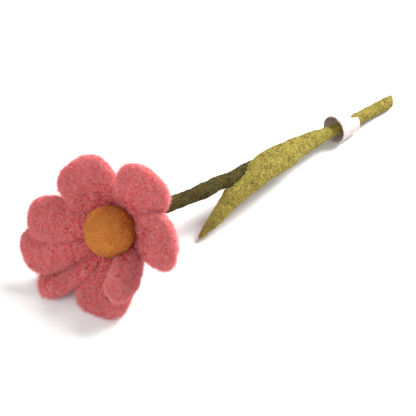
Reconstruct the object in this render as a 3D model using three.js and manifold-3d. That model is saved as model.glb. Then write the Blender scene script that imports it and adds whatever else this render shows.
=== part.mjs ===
// A needle-felted wool anemone, lying on a table: eight thick petals round a felt ball, on a
// wool-covered wire stem with one clasping leaf and a loose paper band near the cut end.
// Millimetres, +Z up. The stem runs along +X, away from the head, and the table is at z = 0.

import * as THREE from "three";
import { mergeVertices } from "three/addons/utils/BufferGeometryUtils.js";
import Module from "manifold-3d";

const wasm = await Module();
wasm.setup();
const { clamp, degToRad, lerp, smoothstep } = THREE.MathUtils;

// ---- Driving dimensions -------------------------------------------------------------------

const GAP = 0.35; // clearance left between pieces that are felted or pressed together

const BALL_RADIUS = 15;
const HUB = new THREE.Vector3(-72, -5, 35); // where the petals and the wire meet
const FACE = new THREE.Vector3(-0.79, -0.37, 0.49).normalize(); // the way the flower looks
const BALL_FORWARD = 13; // ball centre in front of the hub, along FACE
const HUB_PAD_RADIUS = 13;
const HUB_PAD_THICKNESS = 9;

const SLEEVE_RADIUS = 4.6; // dark wool round the wire, from the head to the fork
const STEM_RADIUS = 4.2; // the leaf's wool round the wire, at the cut end
const WIRE_RADIUS = 0.8;
const STEM_END = new THREE.Vector3(173, -4.5, 3.6);
const CUT_LENGTH = 6; // how far the slanting cut runs along the stem
const WIRE_START = 3; // distances along the stem's line, counted from the hub
const WIRE_SET_BACK = 9; // the wire stops this far inside the cut end
const SLEEVE_START = 5;
const FORK_DISTANCE = 112; // where the leaf leaves the stem
const SLEEVE_TUCK = 26; // dark sleeve hidden inside the leaf's sheath

const LEAF_BLADE = [
  new THREE.Vector3(-24, -19, 2.5),
  new THREE.Vector3(-9, -18.6, 11),
  new THREE.Vector3(13, -14.6, 19),
];
const LEAF_HALF_WIDTH = 9.2;
const LEAF_EDGE = 0.6; // half width and half thickness of the blade at its very tip
const LEAF_FLAT = 3; // half thickness of the blade's flat part
const LEAF_ABOVE_FORK = 4.4; // how far the leaf lies over the stem at the fork, and
const LEAF_BELOW_FORK = 4.3; // how far its middle lies towards the leaf's lower edge
const LEAF_JOIN = 22; // the leaf comes in line with the stem over twice this distance
const LEAF_ROLL = degToRad(28);
const LEAF_WIDEST = 70; // distances along the leaf, counted from its tip
const LEAF_WRAP_START = 45;
const LEAF_WRAP_END = 78;
const LEAF_NARROW_END = 142;
const SHEATH_HALF_THICKNESS = 5.9;

const BAND_WIDE_RADIUS = 9.1;
const BAND_NARROW_RADIUS = 7.2;
const BAND_WIDTH = 19;
const BAND_THICKNESS = 0.7;
const BAND_SEAM = 95; // degrees round the stem where the strip starts, on top of the stem
const BAND_OVERLAP = 40; // degrees past a full turn at the wide rim
const BAND_NOTCH = 30; // degrees left open at the narrow rim
const BAND_DISTANCE = 193;
const BAND_LIFT = 0.2; // how far the cuff's middle stands above the stem's

// Petals. Azimuth 0 is level to the viewer's right and 90 is up the face. Lift is the cup angle
// towards the viewer and curl the further bend of the tip. Bend swings the tip anticlockwise
// within the face, and twist turns the petal about its own length. Front petals come first, and
// each later one makes room for those before it.
const PETALS = [
  { name: "petal_inner", azimuth: 289, lift: 38, curl: 6, bend: -35, twist: -58, length: 48, width: 18 },
  { name: "petal_upper_right", azimuth: 63, lift: 28, curl: 8, bend: 0, twist: 8, length: 51, width: 34 },
  { name: "petal_top", azimuth: 134, lift: 20, curl: 5, bend: 3, twist: 10, length: 43, width: 35 },
  { name: "petal_upper_left", azimuth: 187, lift: 22, curl: 5, bend: 0, twist: 10, length: 50, width: 28 },
  { name: "petal_left", azimuth: 211, lift: 20, curl: 5, bend: 0, twist: 8, length: 57, width: 31 },
  { name: "petal_right", azimuth: 10, lift: 28, curl: 8, bend: 2, twist: 6, length: 45, width: 35 },
  { name: "petal_lower_left", azimuth: 230, lift: 14, curl: 4, bend: -17, twist: 44, length: 61, width: 29 },
  { name: "petal_bottom", azimuth: 275, lift: 22, curl: 4, bend: -3, twist: 0, length: 50, width: 36 },
];
const PETAL_THICKNESS = 11;
const PETAL_BLUNTNESS = 0.15; // 0 gives an egg, more gives a squarer tip
const PETAL_ROOT_RADIUS = 5; // where a petal's root starts, out from the hub

// ---- Materials ----------------------------------------------------------------------------

const wool = (colour) => new THREE.MeshStandardMaterial({ color: colour, roughness: 0.95, metalness: 0 });
const coralWool = wool("#cd5c5b");
const ochreWool = wool("#bf7237");
const oliveWool = wool("#6a5f2c");
const limeWool = wool("#a8984b");
const bandPaper = new THREE.MeshStandardMaterial({ color: "#f6e6e2", roughness: 0.7, metalness: 0 });
const steelWire = new THREE.MeshStandardMaterial({ color: "#8b8d8e", roughness: 0.45, metalness: 0.9 });

// ---- Solids -------------------------------------------------------------------------------

/** Keep only positions and merge shared corners, so that the mesh is one closed surface. */
function welded(geometry) {
  const bare = geometry.index ? geometry.toNonIndexed() : geometry.clone();
  bare.deleteAttribute("normal");
  bare.deleteAttribute("uv");
  return mergeVertices(bare, 1e-4);
}

function toSolid(geometry) {
  const closed = welded(geometry);
  return new wasm.Manifold(
    new wasm.Mesh({
      numProp: 3,
      vertProperties: new Float32Array(closed.attributes.position.array),
      triVerts: new Uint32Array(closed.index.array),
    }),
  );
}

function toGeometry(solid) {
  const mesh = solid.getMesh();
  const geometry = new THREE.BufferGeometry();
  geometry.setAttribute("position", new THREE.BufferAttribute(mesh.vertProperties, 3));
  geometry.setIndex(new THREE.BufferAttribute(mesh.triVerts, 1));
  geometry.computeVertexNormals();
  return geometry;
}

/** Move every vertex of a copy outward by a distance, to cut clearance for a neighbour. */
function grown(geometry, distance) {
  const copy = welded(geometry);
  copy.computeVertexNormals();
  const place = copy.attributes.position;
  const normal = copy.attributes.normal;
  for (let i = 0; i < place.count; i += 1) {
    place.setXYZ(
      i,
      place.getX(i) + normal.getX(i) * distance,
      place.getY(i) + normal.getY(i) * distance,
      place.getZ(i) + normal.getZ(i) * distance,
    );
  }
  return copy;
}

const TABLE = new THREE.BoxGeometry(900, 900, 100).translate(0, 0, -50);

/** Flatten whatever dips into the table. */
const restedOnTable = (solid) => solid.subtract(toSolid(TABLE));

/** Directions across and through a strip at a point of a curve, for a given roll. */
function crossFrame(tangent, across, roll) {
  const through = new THREE.Vector3().crossVectors(tangent, across).normalize();
  const side = new THREE.Vector3().crossVectors(through, tangent).normalize();
  return {
    side: side.clone().multiplyScalar(Math.cos(roll)).addScaledVector(through, Math.sin(roll)),
    through: through.clone().multiplyScalar(Math.cos(roll)).addScaledVector(side, -Math.sin(roll)),
  };
}

/** A closed tube along a curve whose half width and half thickness change on the way. */
function taperedSweep(curve, steps, sides, across, roll, halfWidthAt, halfThicknessAt) {
  const tube = new THREE.CylinderGeometry(1, 1, 1, sides, steps);
  const place = tube.attributes.position;
  for (let i = 0; i < place.count; i += 1) {
    const t = clamp(0.5 - place.getY(i), 0, 1);
    const frame = crossFrame(curve.getTangentAt(t), across, roll);
    const point = curve.getPointAt(t);
    point.addScaledVector(frame.side, place.getX(i) * halfWidthAt(t));
    point.addScaledVector(frame.through, place.getZ(i) * halfThicknessAt(t));
    place.setXYZ(i, point.x, point.y, point.z);
  }
  return tube;
}

// ---- Head ---------------------------------------------------------------------------------

const faceRight = new THREE.Vector3().crossVectors(new THREE.Vector3(0, 0, 1), FACE).normalize();
const faceUp = new THREE.Vector3().crossVectors(FACE, faceRight).normalize();

/** The direction at an azimuth round the face, raised from the face's plane towards the viewer. */
function heading(azimuth, raised) {
  const turn = degToRad(azimuth);
  const rise = degToRad(raised);
  return faceRight
    .clone()
    .multiplyScalar(Math.cos(turn) * Math.cos(rise))
    .addScaledVector(faceUp, Math.sin(turn) * Math.cos(rise))
    .addScaledVector(FACE, Math.sin(rise));
}

/** A thick, rounded, egg-shaped petal, narrow at its root and a little hollow in front. */
function petalGeometry({ azimuth, lift, curl, bend, twist, length, width }) {
  const around = new THREE.Vector3().crossVectors(FACE, heading(azimuth, 0)).normalize();
  const root = HUB.clone().addScaledVector(heading(azimuth - bend, 0), PETAL_ROOT_RADIUS);
  const middle = root.clone().addScaledVector(heading(azimuth - bend, lift - curl), length / 2);
  const tip = middle.clone().addScaledVector(heading(azimuth + bend, lift + curl), length / 2);
  const spine = new THREE.QuadraticBezierCurve3(root, middle, tip);

  const petal = new THREE.SphereGeometry(1, 18, 11);
  const place = petal.attributes.position;
  for (let i = 0; i < place.count; i += 1) {
    const s = (1 - place.getY(i)) / 2;
    const egg = (0.62 + 0.62 * s) / 1.02;
    const blunt = Math.max(1 - place.getY(i) ** 2, 1e-6) ** -PETAL_BLUNTNESS;
    const across = place.getX(i) * blunt;
    const roll = degToRad(twist) * smoothstep(s, 0, 0.5);
    const frame = crossFrame(spine.getTangent(s), around, roll);
    const point = spine.getPoint(s);
    point.addScaledVector(frame.side, (across * egg * width) / 2);
    const hollow = width * 0.08 * across * across;
    point.addScaledVector(frame.through, hollow + (place.getZ(i) * PETAL_THICKNESS) / 2);
    place.setXYZ(i, point.x, point.y, point.z);
  }
  return petal;
}

const ballCentre = HUB.clone().addScaledVector(FACE, BALL_FORWARD);
const ball = new THREE.SphereGeometry(BALL_RADIUS, 20, 14).translate(...ballCentre);

/** A felt pad behind the ball, domed at the back, that the petals' roots are felted to. */
function hubPadGeometry() {
  const profile = [
    new THREE.Vector2(0, -HUB_PAD_THICKNESS),
    new THREE.Vector2(HUB_PAD_RADIUS * 0.55, -HUB_PAD_THICKNESS * 0.9),
    new THREE.Vector2(HUB_PAD_RADIUS * 0.85, -HUB_PAD_THICKNESS * 0.62),
    new THREE.Vector2(HUB_PAD_RADIUS, -HUB_PAD_THICKNESS * 0.25),
    new THREE.Vector2(HUB_PAD_RADIUS * 0.9, 0),
    new THREE.Vector2(0, 0),
  ];
  const pad = new THREE.LatheGeometry(profile, 18);
  pad.applyQuaternion(new THREE.Quaternion().setFromUnitVectors(new THREE.Vector3(0, 1, 0), FACE));
  return pad.translate(HUB.x, HUB.y, HUB.z);
}

// ---- Stem, leaf and band ------------------------------------------------------------------

const neck = HUB.clone().addScaledVector(FACE, -11);
const stemLine = new THREE.CatmullRomCurve3([
  HUB.clone().addScaledVector(FACE, -2),
  neck,
  new THREE.Vector3(-45, -3.5, 29.5),
  new THREE.Vector3(-10, -6.6, 26.2),
  new THREE.Vector3(39, -5.5, 19.5),
  new THREE.Vector3(110, -5, 9.5),
  STEM_END,
]);

/** A stretch of the stem's line, by distance from the head. */
function stemStretch(from, to, points) {
  const length = stemLine.getLength();
  const stops = Array.from({ length: points }, (_, i) => {
    const distance = from + ((to - from) * i) / (points - 1);
    return stemLine.getPointAt(clamp(distance / length, 0, 1));
  });
  return new THREE.CatmullRomCurve3(stops);
}

/** A round bar along a curve. */
function bar(curve, radius, sides, steps) {
  const circle = new THREE.Shape().absarc(0, 0, radius, 0, Math.PI * 2);
  return new THREE.ExtrudeGeometry(circle, { curveSegments: sides, steps, extrudePath: curve });
}

const stemLength = stemLine.getLength();
const sheathEnd = FORK_DISTANCE + SLEEVE_TUCK;
const wire = bar(stemStretch(WIRE_START, stemLength - WIRE_SET_BACK, 24), WIRE_RADIUS, 3, 36);
const wireRoom = toSolid(grown(wire, GAP));
const sleeve = bar(stemStretch(SLEEVE_START, sheathEnd, 16), SLEEVE_RADIUS, 7, 24);
const sleeveRoom = toSolid(grown(sleeve, GAP));

const LEVEL_ACROSS = new THREE.Vector3(0, 1, 0);
const onTop = new THREE.Vector3(0, -Math.sin(LEAF_ROLL), Math.cos(LEAF_ROLL)); // the leaf's outer side
const toLowerEdge = new THREE.Vector3(0, -Math.cos(LEAF_ROLL), -Math.sin(LEAF_ROLL));

/** A point off the stem's line, by the leaf's own directions. */
const besideStem = (distance, above, aside) =>
  stemLine
    .getPointAt(distance / stemLength)
    .addScaledVector(onTop, above)
    .addScaledVector(toLowerEdge, aside);

/** The leaf's middle line, from its tip on the table to the fork, and then the stem's own line. */
const leafLine = new THREE.CatmullRomCurve3([
  ...LEAF_BLADE,
  besideStem(FORK_DISTANCE, LEAF_ABOVE_FORK, LEAF_BELOW_FORK),
  besideStem(FORK_DISTANCE + LEAF_JOIN, 1.2, 1.6),
  ...stemStretch(FORK_DISTANCE + 2 * LEAF_JOIN, stemLength, 5).points,
]);

/** One long tongue of felt: a pointed blade that wraps the stem from the fork to the cut end. */
function leafGeometry() {
  const length = leafLine.getLength();
  const widening = (t) => Math.sin((Math.PI / 2) * Math.min(1, (t * length) / LEAF_WIDEST)) ** 0.8;
  const wrapping = (t) => smoothstep(t * length, LEAF_WRAP_START, LEAF_WRAP_END);
  const narrowing = (t) => smoothstep(t * length, LEAF_WRAP_END, LEAF_NARROW_END);
  return taperedSweep(
    leafLine,
    36,
    16,
    LEVEL_ACROSS,
    LEAF_ROLL,
    (t) => lerp(lerp(LEAF_EDGE, LEAF_HALF_WIDTH, widening(t)), STEM_RADIUS, narrowing(t)),
    (t) => {
      const blade = lerp(LEAF_EDGE, LEAF_FLAT, widening(t));
      return lerp(lerp(blade, SHEATH_HALF_THICKNESS, wrapping(t)), STEM_RADIUS, narrowing(t));
    },
  );
}

/** A wedge beyond the slanting cut at the foot of the stem. */
function cutterGeometry() {
  const size = 40;
  const slant = Math.atan2(CUT_LENGTH, 2 * STEM_RADIUS);
  const block = new THREE.BoxGeometry(size, size, size).translate(size / 2, 0, 0);
  block.rotateZ(-slant);
  return block.translate(STEM_END.x - CUT_LENGTH / 2, STEM_END.y, STEM_END.z);
}

/** The band: one strip of paper rolled into a loose cuff, wider towards the flower. */
function bandGeometry() {
  const strip = new THREE.BoxGeometry(1, 1, 1, 36, 1, 2);
  const place = strip.attributes.position;
  for (let i = 0; i < place.count; i += 1) {
    const along = place.getZ(i) + 0.5;
    const first = BAND_SEAM + BAND_NOTCH * along * along;
    const last = BAND_SEAM + 360 + BAND_OVERLAP * (1 - along);
    const round = place.getX(i) + 0.5;
    const angle = degToRad(lerp(first, last, round));
    const spiral = (BAND_THICKNESS + GAP) * round;
    const radius = lerp(BAND_WIDE_RADIUS, BAND_NARROW_RADIUS, along) + spiral;
    const through = radius - place.getY(i) * BAND_THICKNESS;
    place.setXYZ(i, through * Math.cos(angle), through * Math.sin(angle), (along - 0.5) * BAND_WIDTH);
  }
  return strip;
}

function placedBand() {
  const centre = stemLine.getPointAt(BAND_DISTANCE / stemLength);
  const along = stemLine.getTangentAt(BAND_DISTANCE / stemLength);
  const frame = crossFrame(along, LEVEL_ACROSS, 0);
  const pose = new THREE.Matrix4().makeBasis(frame.side, frame.through, along);
  return bandGeometry().applyMatrix4(pose).translate(centre.x, centre.y, centre.z + BAND_LIFT);
}

// ---- Assembly -----------------------------------------------------------------------------

const anemone = new THREE.Group();

function addPiece(name, geometry, material) {
  const mesh = new THREE.Mesh(geometry, material);
  mesh.name = name;
  anemone.add(mesh);
  return mesh;
}

addPiece("flower_centre", toGeometry(toSolid(ball)), ochreWool);

const hubPad = hubPadGeometry();
const hubSolid = toSolid(hubPad).subtract(toSolid(grown(ball, GAP))).subtract(wireRoom);
addPiece("petal_hub", toGeometry(hubSolid), coralWool);

let claimed = toSolid(grown(ball, GAP)).add(toSolid(grown(hubPad, GAP)));
for (const petal of PETALS) {
  const shape = petalGeometry(petal);
  addPiece(petal.name, toGeometry(restedOnTable(toSolid(shape).subtract(claimed))), coralWool);
  claimed = claimed.add(toSolid(grown(shape, GAP)));
}

addPiece("upper_stem", toGeometry(toSolid(sleeve).subtract(claimed).subtract(wireRoom)), oliveWool);
addPiece("stem_wire", toGeometry(toSolid(wire).subtract(toSolid(grown(ball, GAP)))), steelWire);

const leafSolid = toSolid(leafGeometry())
  .subtract(sleeveRoom)
  .subtract(wireRoom)
  .subtract(toSolid(cutterGeometry()));
addPiece("leaf", toGeometry(restedOnTable(leafSolid)), limeWool);

addPiece("paper_band", toGeometry(restedOnTable(toSolid(placedBand()))), bandPaper);

// Put the origin under the middle of the whole flower, on the table.
const extent = new THREE.Box3().setFromObject(anemone);
anemone.position.set(-(extent.min.x + extent.max.x) / 2, -(extent.min.y + extent.max.y) / 2, -extent.min.z);
anemone.updateMatrixWorld(true);

export default anemone;
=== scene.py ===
import math

import bpy
import numpy as np
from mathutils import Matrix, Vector
from mathutils.bvhtree import BVHTree


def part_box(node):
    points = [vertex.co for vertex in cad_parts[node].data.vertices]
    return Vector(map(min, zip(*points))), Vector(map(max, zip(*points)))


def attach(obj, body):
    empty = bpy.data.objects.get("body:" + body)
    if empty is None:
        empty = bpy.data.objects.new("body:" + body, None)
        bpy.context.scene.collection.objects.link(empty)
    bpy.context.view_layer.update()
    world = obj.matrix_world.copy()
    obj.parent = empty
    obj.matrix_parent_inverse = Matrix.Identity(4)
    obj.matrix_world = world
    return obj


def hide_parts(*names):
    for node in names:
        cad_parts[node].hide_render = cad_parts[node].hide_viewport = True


bl_info = {
    "name": "Felt Anemone",
    "version": (1, 0, 0),
    "blender": (4, 5, 0),
    "location": "View3D > Sidebar > Felt Anemone",
    "description": "A needle-felted anemone on a wool-covered wire stem, with a paper cuff",
    "category": "Add Mesh",
}

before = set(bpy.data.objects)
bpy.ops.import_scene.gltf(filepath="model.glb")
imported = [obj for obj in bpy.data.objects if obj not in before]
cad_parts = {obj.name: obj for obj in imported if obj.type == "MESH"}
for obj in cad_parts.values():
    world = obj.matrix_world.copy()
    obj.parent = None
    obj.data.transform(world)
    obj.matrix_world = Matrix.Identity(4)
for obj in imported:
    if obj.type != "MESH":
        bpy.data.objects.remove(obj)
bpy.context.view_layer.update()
BODY = "root"
MM = 0.001
PETALS = (
    "petal_inner",
    "petal_upper_right",
    "petal_top",
    "petal_upper_left",
    "petal_left",
    "petal_right",
    "petal_lower_left",
    "petal_bottom",
)
GRAIN = "grain"
ZONES = "zones"

# The flower faces this way, and its hub lies behind the centre ball.
FACE = Vector((-0.79, -0.37, 0.49)).normalized()
BALL_FORWARD = 13 * MM
HUB_FROM_ORIGIN = Vector((-72, -5, 35)) * MM

# Painted shade: the wool's colour is deepened most within the near distance of the ball's middle, fading
# out by the far one.
ROOT_SHADE_NEAR, ROOT_SHADE_FAR = 14 * MM, 36 * MM

# Painted highlight: how far from its middle, as a share of its half size, a petal starts to turn pale at
# the rim.
RIM_LIGHT_START, RIM_LIGHT_DEPTH = 0.62, 0.36
# Painted shade: the ball's colour deepens where its surface turns this far (cosine) away from the way the
# flower faces.
BALL_SHADE_TURN, BALL_SHADE_SPREAD = 0.62, 0.6
# The camera's turn round the flower, its rise over the table, and its distance in metres.
CAMERA_TURN = math.radians(40)
CAMERA_RISE = math.radians(45)
CAMERA_DISTANCE = 0.64
CAMERA_LENS = 85
# Lights hang to the right, away and up as the camera sees them: place, size and power in m and W.
WINDOW_LIGHT = ((1.6, 1.1, 1.9), 1.5, 142.0)
FRONT_LIGHT = ((-0.7, -0.7, 0.8), 1.2, 6.0)
SKY_STRENGTH = 0.56
TABLE_HALF = 3.0


def middle_of(node):
    """The centre of a CAD node's box."""
    low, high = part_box(node)
    return (low + high) / 2


BALL_MIDDLE = middle_of("flower_centre")
HUB = BALL_MIDDLE - FACE * BALL_FORWARD
ORIGIN = HUB - HUB_FROM_ORIGIN


def dye(red, green, blue):
    """A display colour, 0 to 255 a channel, as the linear light a shader works in."""
    channels = []
    for value in (red, green, blue):
        share = value / 255
        linear = share / 12.92 if share <= 0.04045 else ((share + 0.055) / 1.055) ** 2.4
        channels.append(linear)
    return tuple(channels)


# ---------------------------------------------------------------- settings


def length_setting(name, description, default):
    return bpy.props.FloatProperty(
        name=name, description=description, default=default, min=0, unit="LENGTH", precision=5
    )


def colour_setting(name, description, default):
    return bpy.props.FloatVectorProperty(
        name=name, description=description, default=default, size=3, min=0, max=1, subtype="COLOR"
    )


def count_setting(name, description, default):
    return bpy.props.IntProperty(name=name, description=description, default=default, min=0)


class FeltSizes(bpy.types.PropertyGroup):
    petal_grain: length_setting("Petal grain", "Size of the smallest swelling kept on a petal", 0.75 * MM)
    ball_grain: length_setting("Ball grain", "Size of the smallest swelling kept on the ball", 0.5 * MM)
    stem_grain: length_setting("Stem grain", "Size of the smallest swelling kept on the stem", 0.65 * MM)
    fibre_width: length_setting("Fibre width", "Thickness of one loose wool fibre", 0.2 * MM)
    tuft_width: length_setting("Tuft width", "Thickness of a lock of fibres lying on the wool", 0.3 * MM)
    petal_down: count_setting("Petal down", "Short fibre ends standing up from one petal", 9500)
    petal_fuzz: count_setting("Petal fuzz", "Loose bent fibres standing up from one petal", 1900)
    petal_curls: count_setting("Petal curls", "Pale locks of fibres lying on one petal", 520)
    petal_locks: count_setting("Petal locks", "Deep locks of fibres lying on one petal", 260)
    stem_loops: count_setting("Stem loops", "Locks of fibres lying on the dark stem", 900)
    leaf_curls: count_setting("Leaf curls", "Pale locks lying on the leaf and lower stem", 1200)
    leaf_flecks: count_setting("Leaf flecks", "Dark locks lying on the leaf and lower stem", 500)
    cuff_grain: length_setting("Cuff grain", "Size of the smallest form kept on the cuff", 0.5 * MM)
    ball_fuzz: count_setting("Ball fuzz", "Loose fibres standing up from the ball", 3600)
    stem_fuzz: count_setting("Stem fuzz", "Loose fibres on the dark stem", 2600)
    leaf_fuzz: count_setting("Leaf fuzz", "Loose fibres on the leaf and lower stem", 5200)


class FeltColours(bpy.types.PropertyGroup):
    petal: colour_setting("Petal", "Main wool colour of the petals", dye(231, 72, 73))
    # Petal pale also paints the highlight along the petals' rims.
    petal_pale: colour_setting("Petal pale", "Lightest fibres of the petals", dye(254, 142, 143))
    # Petal deep also paints the shade near the centre ball.
    petal_deep: colour_setting("Petal deep", "Deepest fibres of the petals", dye(158, 30, 32))
    petal_loose: colour_setting("Petal loose fibres", "Short fibres on the petals", dye(254, 140, 142))
    # Partly painted highlight: the palest fibres, also made pale to stand in for light caught by the fuzz
    # at the rims.
    petal_tips_and_highlight: colour_setting("Petal fibre tips", "Palest, longest petal fibres", dye(255, 190, 192))
    ball: colour_setting("Ball", "Main wool colour of the centre ball", dye(205, 114, 45))
    ball_pale: colour_setting("Ball pale", "Lightest fibres of the ball", dye(214, 144, 72))
    # Ball deep also paints the shade where the ball turns down into the petals.
    ball_deep: colour_setting("Ball deep", "Deepest fibres of the ball", dye(150, 74, 24))
    stem: colour_setting("Stem", "Main wool colour of the dark stem", dye(47, 40, 17))
    stem_pale: colour_setting("Stem pale", "Lightest fibres of the dark stem", dye(96, 87, 44))
    stem_deep: colour_setting("Stem deep", "Deepest fibres of the dark stem", dye(32, 27, 12))
    leaf: colour_setting("Leaf", "Main wool colour of the leaf", dye(131, 117, 46))
    leaf_pale: colour_setting("Leaf pale", "Lightest fibres of the leaf", dye(168, 154, 78))
    leaf_deep: colour_setting("Leaf deep", "Dark flecks of the leaf", dye(82, 74, 28))
    cuff: colour_setting("Cuff", "Paper of the cuff", dye(203, 190, 188))
    wire: colour_setting("Wire", "Steel of the wire", dye(168, 168, 170))
    table: colour_setting("Table", "Table top", dye(246, 246, 246))


# ---------------------------------------------------------------- materials


class Signal:
    """One output socket of a material. Arithmetic on it adds Math nodes."""

    def __init__(self, recipe, socket):
        self.recipe = recipe
        self.socket = socket

    def joined(self, operation, first, second):
        return self.recipe.node("ShaderNodeMath", {"operation": operation}, {0: first, 1: second})

    def __add__(self, other):
        return self.joined("ADD", self, other)

    def __radd__(self, other):
        return self.joined("ADD", other, self)

    def __sub__(self, other):
        return self.joined("SUBTRACT", self, other)

    def __rsub__(self, other):
        return self.joined("SUBTRACT", other, self)

    def __mul__(self, other):
        return self.joined("MULTIPLY", self, other)

    def __rmul__(self, other):
        return self.joined("MULTIPLY", other, self)


class Recipe:
    """The node tree of one material."""

    def __init__(self, name):
        self.material = bpy.data.materials.new(name)
        self.material.use_nodes = True
        self.tree = self.material.node_tree
        self.shader = self.tree.nodes["Principled BSDF"]

    def feed(self, socket, value):
        if isinstance(value, Signal):
            self.tree.links.new(value.socket, socket)
        elif hasattr(value, "__len__") and len(value) == 3 and len(socket.default_value) == 4:
            socket.default_value = (*value, 1.0)
        else:
            socket.default_value = value

    def node(self, kind, settings=None, sockets=None, output=0):
        """Adds a node, sets it up, feeds its sockets, and gives one of its outputs."""
        made = self.tree.nodes.new(kind)
        for key, value in (settings or {}).items():
            setattr(made, key, value)
        for key, value in (sockets or {}).items():
            self.feed(made.inputs[key], value)
        return Signal(self, made.outputs[output])

    def surface(self, **sockets):
        """Feeds the shader's own sockets; an underscore in a name stands for a space."""
        for key, value in sockets.items():
            self.feed(self.shader.inputs[key.replace("_", " ")], value)

    # the few nodes that most finishes share

    def place(self):
        return self.node("ShaderNodeAttribute", {"attribute_name": GRAIN}, output="Vector")

    def zone(self, axis):
        """How near the flower's middle a point is (X, for painted shade), or how near its own piece's
        edge (Y, for a painted rim highlight).
        """
        stored = self.node("ShaderNodeAttribute", {"attribute_name": ZONES}, output="Vector")
        return self.node("ShaderNodeSeparateXYZ", {}, {"Vector": stored}, axis)

    def stretched(self, vector, scales):
        return self.node("ShaderNodeVectorMath", {"operation": "MULTIPLY"}, {0: vector, 1: scales})

    def shifted(self, vector, offset):
        return self.node("ShaderNodeVectorMath", {"operation": "ADD"}, {0: vector, 1: offset})

    def noise(self, vector, detail=2.0, roughness=0.5, output=0):
        sockets = {"Vector": vector, "Scale": 1.0, "Detail": detail, "Roughness": roughness}
        return self.node("ShaderNodeTexNoise", {}, sockets, output)

    def span(self, signal, low, high):
        """0 below low and 1 above high, with a smooth step between."""
        sockets = {"Value": signal, "From Min": low, "From Max": high}
        return self.node("ShaderNodeMapRange", {"interpolation_type": "SMOOTHSTEP"}, sockets)

    def blend(self, share, first, second):
        sockets = {0: share, 6: first, 7: second}
        return self.node("ShaderNodeMix", {"data_type": "RGBA"}, sockets, 2)

    def warped(self, vector, reach, wander):
        """The vector pushed about by slow noise: reach is the noise's size, wander the push."""
        slow = self.noise(self.stretched(vector, (1 / reach,) * 3), 1.0, output=1)
        push = self.shifted(slow, (-0.5,) * 3)
        return self.shifted(vector, self.stretched(push, (wander,) * 3))


def wool(name, base, pale, deep, tint, fibre=0.7, strand=7.0, mottle=9.0, contrast=1.0, flecks=0.0):
    """Felted wool: crossing strands, lighter and deeper, over slow patches, with painted shade near the
    flower's middle and a painted highlight at the rims. Lengths in millimetres.
    """
    recipe = Recipe(name)
    place = recipe.stretched(recipe.place(), (1 / MM,) * 3)
    bent = recipe.warped(place, 11.0, 9.0)
    thin, long = 1 / fibre, 1 / strand
    along = recipe.noise(recipe.stretched(bent, (thin, long, thin)), 2.0, 0.6)
    turned = recipe.shifted(recipe.stretched(bent, (long, thin, thin)), (31.0, 7.0, 11.0))
    across = recipe.noise(turned, 2.0, 0.6)
    lay = recipe.span(recipe.noise(recipe.stretched(place, (0.16,) * 3), 1.0), 0.4, 0.6)
    strands = along + (across - along) * lay
    patches = recipe.noise(recipe.stretched(place, (1 / mottle,) * 3), 3.0, 0.6)
    light = recipe.span(strands, 0.48, 0.48 + 0.14 / contrast)
    dark = recipe.span(1 - strands, 0.5, 0.5 + 0.14 / contrast)
    colour = recipe.blend(recipe.span(patches, 0.35, 0.7) * 0.45, base, pale)
    colour = recipe.blend(recipe.span(1 - patches, 0.45, 0.75) * 0.6, colour, deep)
    # Painted shade: the deep colour laid on near the flower's middle (X).
    colour = recipe.blend(recipe.zone("X") * 0.8, colour, deep)
    # Painted highlight: the pale colour laid on along each piece's rim (Y).
    colour = recipe.blend(recipe.zone("Y") * 0.3, colour, pale)
    colour = recipe.blend(light * 0.7, colour, pale)
    colour = recipe.blend(dark * 0.6, colour, deep)
    if flecks:
        aside = recipe.shifted(recipe.stretched(bent, (1.1, 0.8, 1.1)), (5.0, 3.0, 1.0))
        speck = recipe.noise(aside, 3.0, 0.7)
        colour = recipe.blend(recipe.span(speck, 0.56, 0.68) * flecks, colour, deep)
    fine = recipe.noise(recipe.stretched(bent, (5.0, 5.0, 5.0)), 2.0, 0.6)
    height = strands + fine * 0.35
    normal = recipe.node(
        "ShaderNodeBump", {}, {"Strength": 1.0, "Distance": 0.4 * MM, "Height": height}
    )
    recipe.surface(
        Base_Color=colour,
        Roughness=0.92,
        Normal=normal,
        Specular_IOR_Level=0.15,
        Sheen_Weight=0.3,
        Sheen_Roughness=0.4,
        Sheen_Tint=tint,
    )
    return recipe.material


def loose_wool(name, colour, tint):
    """Single fibres, too thin to show any pattern of their own."""
    recipe = Recipe(name)
    recipe.surface(
        Base_Color=colour,
        Roughness=0.7,
        Specular_IOR_Level=0.25,
        Sheen_Weight=0.2,
        Sheen_Roughness=0.4,
        Sheen_Tint=tint,
    )
    return recipe.material


def paper(name, colour):
    """Uncoated paper, with faint pulp clouds and a little tooth."""
    recipe = Recipe(name)
    place = recipe.stretched(recipe.place(), (1 / MM,) * 3)
    pulp = recipe.noise(recipe.stretched(place, (0.5,) * 3), 4.0, 0.6)
    tooth = recipe.noise(recipe.stretched(place, (4.0,) * 3), 3.0, 0.7)
    greyer = tuple(channel * 0.86 for channel in colour)
    normal = recipe.node(
        "ShaderNodeBump", {}, {"Strength": 0.35, "Distance": 0.08 * MM, "Height": tooth + pulp}
    )
    recipe.surface(
        Base_Color=recipe.blend(recipe.span(pulp, 0.35, 0.75) * 0.5, colour, greyer),
        Roughness=0.75 + tooth * 0.15,
        Normal=normal,
    )
    return recipe.material


def steel(name, colour):
    """Drawn steel wire, with streaks along its length."""
    recipe = Recipe(name)
    place = recipe.node("ShaderNodeTexCoord", {}, {}, "Object")
    streaks = recipe.noise(recipe.stretched(place, (400.0, 6000.0, 6000.0)), 3.0, 0.6)
    recipe.surface(
        Base_Color=recipe.blend(streaks, colour, tuple(channel * 0.6 for channel in colour)),
        Roughness=0.25 + streaks * 0.3,
        Metallic=1.0,
    )
    return recipe.material


# ---------------------------------------------------------------- meshes


def unit(vectors):
    return vectors / np.maximum(np.linalg.norm(vectors, axis=-1, keepdims=True), 1e-12)


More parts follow.
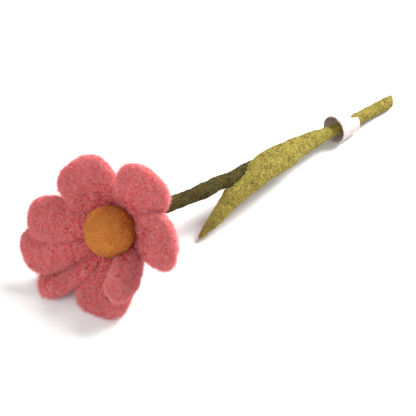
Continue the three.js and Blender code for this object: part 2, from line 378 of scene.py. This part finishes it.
def swell(points, wavelength, seed, waves=28):
    """Smooth seeded noise, mostly from -1 to 1, made of plane waves in all directions."""
    rng = np.random.default_rng(seed)
    directions = unit(rng.normal(size=(waves, 3)))
    lengths = wavelength * rng.uniform(0.7, 1.5, waves)
    phases = rng.uniform(0, math.tau, waves)
    turns = points @ (directions * (math.tau / lengths)[:, None]).T + phases
    return np.sin(turns).sum(axis=1) / math.sqrt(waves)


def mesh_object(name, points, faces, material, replaced=()):
    """A new piece from arrays, finished, riding on the body, with the CAD nodes it stands in for hidden.
    """
    mesh = bpy.data.meshes.new(name)
    sides = faces.shape[1]
    mesh.vertices.add(len(points))
    mesh.vertices.foreach_set("co", points.astype(np.float32).ravel())
    mesh.loops.add(faces.size)
    mesh.loops.foreach_set("vertex_index", faces.astype(np.int32).ravel())
    mesh.polygons.add(len(faces))
    mesh.polygons.foreach_set("loop_start", np.arange(0, faces.size, sides, dtype=np.int32))
    mesh.update(calc_edges=True)
    mesh.validate()
    mesh.shade_smooth()
    mesh.materials.append(material)
    made = bpy.data.objects.new(name, mesh)
    bpy.context.scene.collection.objects.link(made)
    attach(made, BODY)
    if replaced:
        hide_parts(*replaced)
    return made


def mesh_arrays(mesh):
    """A mesh's points, the point at each face corner, and its point normals."""
    points = np.empty(len(mesh.vertices) * 3)
    mesh.vertices.foreach_get("co", points)
    normals = np.empty(len(mesh.vertices) * 3)
    mesh.vertex_normals.foreach_get("vector", normals)
    corners = np.empty(len(mesh.loops), dtype=np.int32)
    mesh.loops.foreach_get("vertex_index", corners)
    return points.reshape(-1, 3), corners, normals.reshape(-1, 3)


def remeshed(node, grain, smoothing):
    """A CAD node's form as an even, smooth mesh of square faces."""
    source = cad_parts[node].data.copy()
    blank = bpy.data.objects.new("blank", source)
    bpy.context.scene.collection.objects.link(blank)
    weld = blank.modifiers.new("weld", "WELD")
    weld.merge_threshold = 0.002 * MM
    voxels = blank.modifiers.new("voxels", "REMESH")
    voxels.mode = "VOXEL"
    voxels.voxel_size = grain
    smooth = blank.modifiers.new("smooth", "SMOOTH")
    smooth.factor = 0.5
    smooth.iterations = smoothing
    shown = blank.evaluated_get(bpy.context.evaluated_depsgraph_get())
    mesh = bpy.data.meshes.new_from_object(shown)
    points, corners, normals = mesh_arrays(mesh)
    bpy.data.objects.remove(blank)
    bpy.data.meshes.remove(source)
    bpy.data.meshes.remove(mesh)
    return points, corners.reshape(-1, 4), normals


def felted(name, node, grain, smoothing, lumps, material, seed, puff=0.0):
    """A felted piece in the place of a CAD node: its form smoothed, puffed and made lumpy."""
    points, faces, normals = remeshed(node, grain, smoothing)
    rise = np.full(len(points), puff)
    for step, (wavelength, height) in enumerate(lumps):
        rise = rise + height * swell(points, wavelength, seed + step)
    points = points + normals * rise[:, None]
    points[:, 2] = np.maximum(points[:, 2], 0.05 * MM)
    return mesh_object(name, points, faces, material, (node,))


def lay_grain(made):
    """Stores where each point lies across, along and through the piece, for the wool pattern."""
    points, _, _ = mesh_arrays(made.data)
    centred = points - points.mean(axis=0)
    _, _, spread = np.linalg.svd(centred[::7], full_matrices=False)
    axes = np.array([spread[1], spread[0], spread[2]])
    grain = centred @ axes.T
    stored = made.data.attributes.new(GRAIN, "FLOAT_VECTOR", "POINT")
    stored.data.foreach_set("vector", grain.astype(np.float32).ravel())


def lay_zones(made, root, edge):
    """Stores how deep in the flower each point lies, for painted shade, and how near its own piece's
    edge, for a painted rim highlight.
    """
    zones = np.stack([root, edge, np.zeros(len(root))], axis=1)
    stored = made.data.attributes.new(ZONES, "FLOAT_VECTOR", "POINT")
    stored.data.foreach_set("vector", zones.astype(np.float32).ravel())


def petal_zones(made):
    """How near each point is to the centre ball (painted shade), and how near to its petal's own edge
    (painted rim highlight).
    """
    points, _, _ = mesh_arrays(made.data)
    away = np.linalg.norm(points - np.array(BALL_MIDDLE), axis=1)
    root = np.clip((ROOT_SHADE_FAR - away) / (ROOT_SHADE_FAR - ROOT_SHADE_NEAR), 0, 1)
    grain = vector_attribute(made, GRAIN)
    across, along = np.abs(grain[:, :2] / np.abs(grain[:, :2]).max(axis=0)).T
    edge = np.clip((np.hypot(across, along) - RIM_LIGHT_START) / RIM_LIGHT_DEPTH, 0, 1) * (1 - root)
    return root, edge


def ball_zones(made):
    """Painted shade, deepest where the ball turns down into the petals; it has no edge."""
    points, _, _ = mesh_arrays(made.data)
    up = unit(points - np.array(BALL_MIDDLE)) @ np.array(FACE)
    return np.clip((BALL_SHADE_TURN - up) / BALL_SHADE_SPREAD, 0, 1), np.zeros(len(points))


def vector_attribute(made, name):
    """The stored vectors of a piece, or zeros where it has none of that name."""
    values = np.zeros(len(made.data.vertices) * 3)
    if name in made.data.attributes:
        made.data.attributes[name].data.foreach_get("vector", values)
    return values.reshape(-1, 3)


def scattered(made, count, rng):
    """Random places on a piece with their normals: sparse by the ball, dense along an edge."""
    points, corners, normals = mesh_arrays(made.data)
    quads = corners.reshape(-1, 4)
    sides = np.cross(points[quads[:, 1]] - points[quads[:, 0]], points[quads[:, 3]] - points[quads[:, 0]])
    root, edge, _ = vector_attribute(made, ZONES)[quads[:, 0]].T
    area = np.linalg.norm(sides, axis=1) * (1 - 0.85 * root) * (1 + 0.6 * edge)
    chosen = rng.choice(len(quads), size=count, p=area / area.sum())
    first, second = rng.uniform(size=(2, count, 1))
    weights = ((1 - first) * (1 - second), first * (1 - second), first * second, (1 - first) * second)
    where = sum(weight * points[quads[chosen, k]] for k, weight in enumerate(weights))
    facing = unit(sum(weight * normals[quads[chosen, k]] for k, weight in enumerate(weights)))
    return where, facing


def prisms(lines, facing, widths):
    """Thin three-sided fibres along lines of points, drawn out to a tip."""
    count, steps, _ = lines.shape
    rings = steps - 1
    tangents = unit(np.diff(lines, axis=1))
    sides = unit(np.cross(tangents, facing[:, None, :]))
    backs = np.cross(tangents, sides)
    taper = (1 - np.linspace(0, 1, steps)[:rings] ** 2 * 0.7)[None, :, None]
    half = widths[:, None, None] / 2 * taper
    corners = []
    for turn in (0, math.tau / 3, 2 * math.tau / 3):
        corners.append(lines[:, :rings] + half * (math.cos(turn) * sides + math.sin(turn) * backs))
    body = np.stack(corners, axis=2).reshape(count, rings * 3, 3)
    points = np.concatenate([body, lines[:, -1:]], axis=1)
    pattern = [(0, 2, 1)]
    for ring in range(rings - 1):
        for side in range(3):
            near, far = ring * 3 + side, ring * 3 + (side + 1) % 3
            pattern += [(near, far, far + 3), (near, far + 3, near + 3)]
    last, tip = (rings - 1) * 3, rings * 3
    pattern += [(last + side, last + (side + 1) % 3, tip) for side in range(3)]
    starts = np.arange(count)[:, None, None] * points.shape[1]
    faces = (np.array(pattern)[None] + starts).reshape(-1, 3)
    return points.reshape(-1, 3), faces


def tangent_directions(facing, rng, grain=None, spread=1.0):
    """Random directions in the surface, drawn toward the grain where one is given."""
    loose = unit(np.cross(facing, rng.normal(size=facing.shape)))
    if grain is None:
        return loose
    sign = rng.choice((-1.0, 1.0), size=(len(facing), 1), p=(0.25, 0.75))
    mixed = loose * spread + grain * sign
    flat = mixed - facing * (mixed * facing).sum(axis=1, keepdims=True)
    return unit(flat)


def clear_of(lines, facing, widths, blockers):
    """Keeps the fibres that stay above the table and don't run into a neighbour."""
    keep = lines[:, :, 2].min(axis=1) > 0.1 * MM
    ends = lines[:, -1]
    for tree in blockers:
        for index in np.nonzero(keep)[0]:
            place, normal, _, distance = tree.find_nearest(ends[index], 4 * MM)
            if place is not None and (Vector(ends[index]) - place).dot(normal) < 0:
                keep[index] = False
    return lines[keep], facing[keep], widths[keep]


def down(name, made, count, material, seed, reach=(1.4, 4.0), raised=(0.12, 1.4), blockers=()):
    """Short straight fibre ends all over a piece. Reach is in millimetres."""
    rng = np.random.default_rng(seed)
    where, facing = scattered(made, count, rng)
    lengths = rng.uniform(*reach, count)[:, None] * MM
    slant = rng.uniform(*raised, count)[:, None]
    outward = unit(where - np.array(BALL_MIDDLE))
    heading = unit(tangent_directions(facing, rng, outward, 0.9) + facing * slant)
    widths = fibre_width() * rng.uniform(0.7, 1.25, count)
    lines = np.stack([where - heading * lengths * 0.1, where + heading * lengths], axis=1)
    lines, facing, widths = clear_of(lines, facing, widths, blockers)
    points, faces = prisms(lines, facing, widths)
    return mesh_object(name, points, faces, material)


def fuzz(name, made, count, material, seed, reach=(0.8, 2.2), raised=(0.35, 1.2), blockers=()):
    """Short fibres standing out of a piece at all slants. Reach is in millimetres."""
    rng = np.random.default_rng(seed)
    where, facing = scattered(made, count, rng)
    lengths = rng.uniform(*reach, count)[:, None] * MM
    slant = rng.uniform(*raised, count)[:, None]
    lying = tangent_directions(facing, rng)
    heading = unit(lying + facing * slant)
    sideways = unit(np.cross(heading, facing))
    bend = rng.normal(scale=0.35, size=(count, 1))
    widths = fibre_width() * rng.uniform(0.7, 1.25, count)
    lines = []
    for share in (-0.12, 0.5, 1.0):
        curve = sideways * bend * share**2 - facing * 0.18 * share**2
        lines.append(where + lengths * (heading * share + curve))
    lines, facing, widths = clear_of(np.stack(lines, axis=1), facing, widths, blockers)
    points, faces = prisms(lines, facing, widths)
    return mesh_object(name, points, faces, material)


def curls(name, made, count, material, seed, reach=(3.0, 8.0)):
    """Longer curly fibres that lie on a piece and follow its surface."""
    rng = np.random.default_rng(seed)
    where, facing = scattered(made, count, rng)
    lengths = rng.uniform(*reach, count)[:, None] * MM
    heading = tangent_directions(facing, rng)
    sideways = np.cross(heading, facing)
    bend = rng.normal(scale=1.5, size=(count, 1))
    bend = np.where(np.abs(bend) < 0.05, 0.05, bend)
    widths = bpy.context.scene.felt_sizes.tuft_width * rng.uniform(0.5, 1.2, count)
    tree = tree_of(made)
    lift = rng.uniform(0.02, 0.32, count) * MM
    steps = 5
    lines = []
    for step in range(steps):
        share = step / (steps - 1)
        turned = bend * share
        path = heading * np.sin(turned) / bend + sideways * (1 - np.cos(turned)) / bend
        flat = where + lengths * path
        high = lift * math.sin(math.pi * min(1.0, share * 1.1)) + 0.02 * MM
        laid = np.empty_like(flat)
        for index in range(count):
            place, normal, _, _ = tree.find_nearest(flat[index])
            laid[index] = np.array(place) + np.array(normal) * high[index]
        lines.append(laid)
    lines = np.stack(lines, axis=1)
    keep = lines[:, :, 2].min(axis=1) > 0.1 * MM
    points, faces = prisms(lines[keep], facing[keep], widths[keep])
    return mesh_object(name, points, faces, material)


def tree_of(made):
    return BVHTree.FromObject(made, bpy.context.evaluated_depsgraph_get())


def fibre_width():
    return bpy.context.scene.felt_sizes.fibre_width


# ---------------------------------------------------------------- operators


class MakePiece:
    """What every operator here shares."""

    bl_options = {"REGISTER", "UNDO"}

    @property
    def sizes(self):
        return bpy.context.scene.felt_sizes

    @property
    def colours(self):
        return bpy.context.scene.felt_colours


class FELT_OT_centre(MakePiece, bpy.types.Operator):
    """Rolls the ochre ball in the middle of the flower"""

    bl_idname = "felt.centre"
    bl_label = "Centre ball"

    def execute(self, context):
        colours, sizes = self.colours, self.sizes
        tint = colours.ball_pale
        finish = wool(
            "ball_wool", colours.ball, colours.ball_pale, colours.ball_deep, tint, 0.7, 4.0, 6.0
        )
        lumps = ((11 * MM, 0.16 * MM), (4 * MM, 0.09 * MM), (1.8 * MM, 0.05 * MM))
        ball = felted(
            "felt_ball", "flower_centre", sizes.ball_grain, 6, lumps, finish, 11, 0.1 * MM
        )
        lay_grain(ball)
        lay_zones(ball, *ball_zones(ball))
        loose = loose_wool("ball_loose_wool", colours.ball_pale, tint)
        fuzz("felt_ball_fuzz", ball, sizes.ball_fuzz, loose, 12, (0.6, 1.5))
        return {"FINISHED"}


class FELT_OT_petals(MakePiece, bpy.types.Operator):
    """Felts the eight petals and the pad behind them"""

    bl_idname = "felt.petals"
    bl_label = "Petals"

    def execute(self, context):
        colours, sizes = self.colours, self.sizes
        tint = colours.petal_loose
        finish = wool(
            "petal_wool", colours.petal, colours.petal_pale, colours.petal_deep, tint
        )
        loose = loose_wool("petal_loose_wool", colours.petal_loose, tint)
        # Pale fibre wool, partly a painted highlight on the fuzz at the rims.
        pale = loose_wool("petal_tip_and_highlight_wool", colours.petal_tips_and_highlight, tint)
        deep = loose_wool("petal_deep_wool", colours.petal_deep, tint)
        lumps = ((15 * MM, 0.22 * MM), (6 * MM, 0.13 * MM), (2.6 * MM, 0.07 * MM))
        made = {}
        for number, node in enumerate(PETALS):
            made[node] = felted(
                "felt_" + node,
                node,
                sizes.petal_grain,
                9,
                lumps,
                finish,
                100 + number * 10,
                0.15 * MM,
            )
            lay_grain(made[node])
            lay_zones(made[node], *petal_zones(made[node]))
        pad = felted(
            "felt_pad", "petal_hub", sizes.petal_grain, 8, lumps, finish, 90, 0.0
        )
        lay_grain(pad)
        lay_zones(pad, *petal_zones(pad))
        trees = {node: tree_of(petal) for node, petal in made.items()}
        trees["ball"] = tree_of(bpy.data.objects["felt_ball"])
        for number, node in enumerate(PETALS):
            blockers = [tree for other, tree in trees.items() if other != node]
            seed = 500 + number * 10
            petal, slot = made[node], "petal_wool"
            down("down_" + node, petal, sizes.petal_down, loose, seed + 2, blockers=blockers)
            fuzz("fuzz_" + node, petal, sizes.petal_fuzz, pale, seed, (1.6, 4.2), blockers=blockers)
            curls("curls_" + node, petal, sizes.petal_curls, pale, seed + 1)
            curls("locks_" + node, petal, sizes.petal_locks, deep, seed + 3)
        return {"FINISHED"}


class FELT_OT_stem(MakePiece, bpy.types.Operator):
    """Wraps the dark upper stem round its wire"""

    bl_idname = "felt.stem"
    bl_label = "Upper stem"

    def execute(self, context):
        colours, sizes = self.colours, self.sizes
        tint = colours.stem_pale
        finish = wool(
            "stem_wool",
            colours.stem,
            colours.stem_pale,
            colours.stem_deep,
            tint,
            0.8,
            2.6,
            5.0,
            1.3,
        )
        lumps = ((18 * MM, 0.4 * MM), (6 * MM, 0.16 * MM), (2.2 * MM, 0.08 * MM))
        stem = felted(
            "felt_stem", "upper_stem", sizes.stem_grain, 6, lumps, finish, 31, 0.0
        )
        lay_grain(stem)
        pale = loose_wool("stem_loose_wool", colours.stem_pale, tint)
        fuzz("felt_stem_fuzz", stem, sizes.stem_fuzz, pale, 32, (0.6, 1.8))
        curls("felt_stem_loops", stem, sizes.stem_loops, pale, 33, (3.0, 7.0))
        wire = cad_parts["stem_wire"]
        wire.data.materials.clear()
        wire.data.materials.append(steel("wire_steel", colours.wire))
        return {"FINISHED"}


class FELT_OT_leaf(MakePiece, bpy.types.Operator):
    """Felts the leaf with the lower stem that it wraps"""

    bl_idname = "felt.leaf"
    bl_label = "Leaf and lower stem"

    def execute(self, context):
        colours, sizes = self.colours, self.sizes
        tint = colours.leaf_pale
        finish = wool(
            "leaf_wool",
            colours.leaf,
            colours.leaf_pale,
            colours.leaf_deep,
            tint,
            0.8,
            2.6,
            6.0,
            1.2,
            0.45,
        )
        lumps = ((20 * MM, 0.3 * MM), (7 * MM, 0.14 * MM), (2.3 * MM, 0.07 * MM))
        leaf = felted("felt_leaf", "leaf", sizes.stem_grain, 8, lumps, finish, 41, 0.0)
        lay_grain(leaf)
        pale = loose_wool("leaf_loose_wool", colours.leaf_pale, tint)
        dark = loose_wool("leaf_dark_wool", colours.leaf_deep, tint)
        fuzz("felt_leaf_fuzz", leaf, sizes.leaf_fuzz, pale, 42, (0.5, 1.4))
        curls("felt_leaf_curls", leaf, sizes.leaf_curls, pale, 43, (2.0, 5.0))
        curls("felt_leaf_flecks", leaf, sizes.leaf_flecks, dark, 44, (1.0, 2.6))
        return {"FINISHED"}


class FELT_OT_cuff(MakePiece, bpy.types.Operator):
    """Rolls the paper cuff round the lower stem"""

    bl_idname = "felt.cuff"
    bl_label = "Paper cuff"

    def execute(self, context):
        finish = paper("cuff_paper", self.colours.cuff)
        points, faces, _ = remeshed("paper_band", self.sizes.cuff_grain, 3)
        cuff = mesh_object("paper_cuff", points, faces, finish, ("paper_band",))
        lay_grain(cuff)
        return {"FINISHED"}


class FELT_OT_stage(MakePiece, bpy.types.Operator):
    """Sets the table top, the soft lights and the camera"""

    bl_idname = "felt.stage"
    bl_label = "Table, lights and camera"

    def execute(self, context):
        self.lay_table()
        self.light_room(context.scene)
        self.hang_lights()
        self.set_camera(context.scene)
        return {"FINISHED"}

    def lay_table(self):
        half = TABLE_HALF
        corners = [(-half, -half, 0), (half, -half, 0), (half, half, 0), (-half, half, 0)]
        mesh = bpy.data.meshes.new("table_top")
        mesh.from_pydata(corners, [], [(0, 1, 2, 3)])
        table = bpy.data.objects.new("table_top", mesh)
        bpy.context.scene.collection.objects.link(table)
        recipe = Recipe("table_top")
        place = recipe.node("ShaderNodeTexCoord", {}, {}, "Object")
        cloud = recipe.noise(recipe.stretched(place, (3.0,) * 3), 2.0)
        colour = self.colours.table
        recipe.surface(
            Base_Color=recipe.blend(cloud, colour, tuple(channel * 0.985 for channel in colour)),
            Roughness=0.9,
            Specular_IOR_Level=0.1,
        )
        mesh.materials.append(recipe.material)

    def light_room(self, scene):
        world = bpy.data.worlds.new("soft_room")
        world.use_nodes = True
        sky = world.node_tree.nodes["Background"]
        sky.inputs["Color"].default_value = (1, 1, 1, 1)
        sky.inputs["Strength"].default_value = SKY_STRENGTH
        scene.world = world
        scene.view_settings.view_transform = "Standard"

    def hang_lights(self):
        right = Vector((math.cos(CAMERA_TURN), -math.sin(CAMERA_TURN), 0))
        away = Vector((math.sin(CAMERA_TURN), math.cos(CAMERA_TURN), 0))
        up = Vector((0, 0, 1))
        for name, (place, size, power) in (("window", WINDOW_LIGHT), ("front", FRONT_LIGHT)):
            hung = ORIGIN + right * place[0] + away * place[1] + up * place[2]
            self.hang_softbox(name, hung, size, power)

    def hang_softbox(self, name, place, size, power):
        light = bpy.data.lights.new(name, "AREA")
        light.shape = "DISK"
        light.size = size
        light.energy = power
        box = bpy.data.objects.new(name, light)
        box.location = place
        box.rotation_mode = "QUATERNION"
        box.rotation_quaternion = (HUB - place).to_track_quat("-Z", "Y")
        bpy.context.scene.collection.objects.link(box)

    def set_camera(self, scene):
        lens = bpy.data.cameras.new("camera")
        lens.lens = CAMERA_LENS
        lens.sensor_width = 36
        lens.clip_start = 0.01
        lens.clip_end = 20
        camera = bpy.data.objects.new("camera", lens)
        level = math.cos(CAMERA_RISE)
        back = Vector(
            (-math.sin(CAMERA_TURN) * level, -math.cos(CAMERA_TURN) * level, math.sin(CAMERA_RISE))
        )
        camera.location = ORIGIN + back * CAMERA_DISTANCE
        camera.rotation_mode = "QUATERNION"
        camera.rotation_quaternion = (-back).to_track_quat("-Z", "Y")
        scene.collection.objects.link(camera)
        scene.camera = camera


class FELT_PT_flower(bpy.types.Panel):
    """Lists what makes the flower, in the order it is made"""

    bl_idname = "FELT_PT_flower"
    bl_label = "Felt Anemone"
    bl_space_type = "VIEW_3D"
    bl_region_type = "UI"
    bl_category = "Felt Anemone"

    def draw(self, context):
        column = self.layout.column()
        for step in STEPS:
            column.operator(step.bl_idname)
        for group in (context.scene.felt_sizes, context.scene.felt_colours):
            box = self.layout.box()
            for name in group.bl_rna.properties.keys():
                if name not in {"rna_type", "name"}:
                    box.prop(group, name)


STEPS = (
    FELT_OT_centre,
    FELT_OT_petals,
    FELT_OT_stem,
    FELT_OT_leaf,
    FELT_OT_cuff,
    FELT_OT_stage,
)
CLASSES = (FeltSizes, FeltColours, *STEPS, FELT_PT_flower)


def register():
    for kind in CLASSES:
        bpy.utils.register_class(kind)
    bpy.types.Scene.felt_sizes = bpy.props.PointerProperty(type=FeltSizes)
    bpy.types.Scene.felt_colours = bpy.props.PointerProperty(type=FeltColours)


def unregister():
    del bpy.types.Scene.felt_sizes
    del bpy.types.Scene.felt_colours
    for kind in reversed(CLASSES):
        bpy.utils.unregister_class(kind)


def main():
    register()
    bpy.ops.felt.centre()
    bpy.ops.felt.petals()
    bpy.ops.felt.stem()
    bpy.ops.felt.leaf()
    bpy.ops.felt.cuff()
    bpy.ops.felt.stage()


if __name__ == "__main__":
    main()
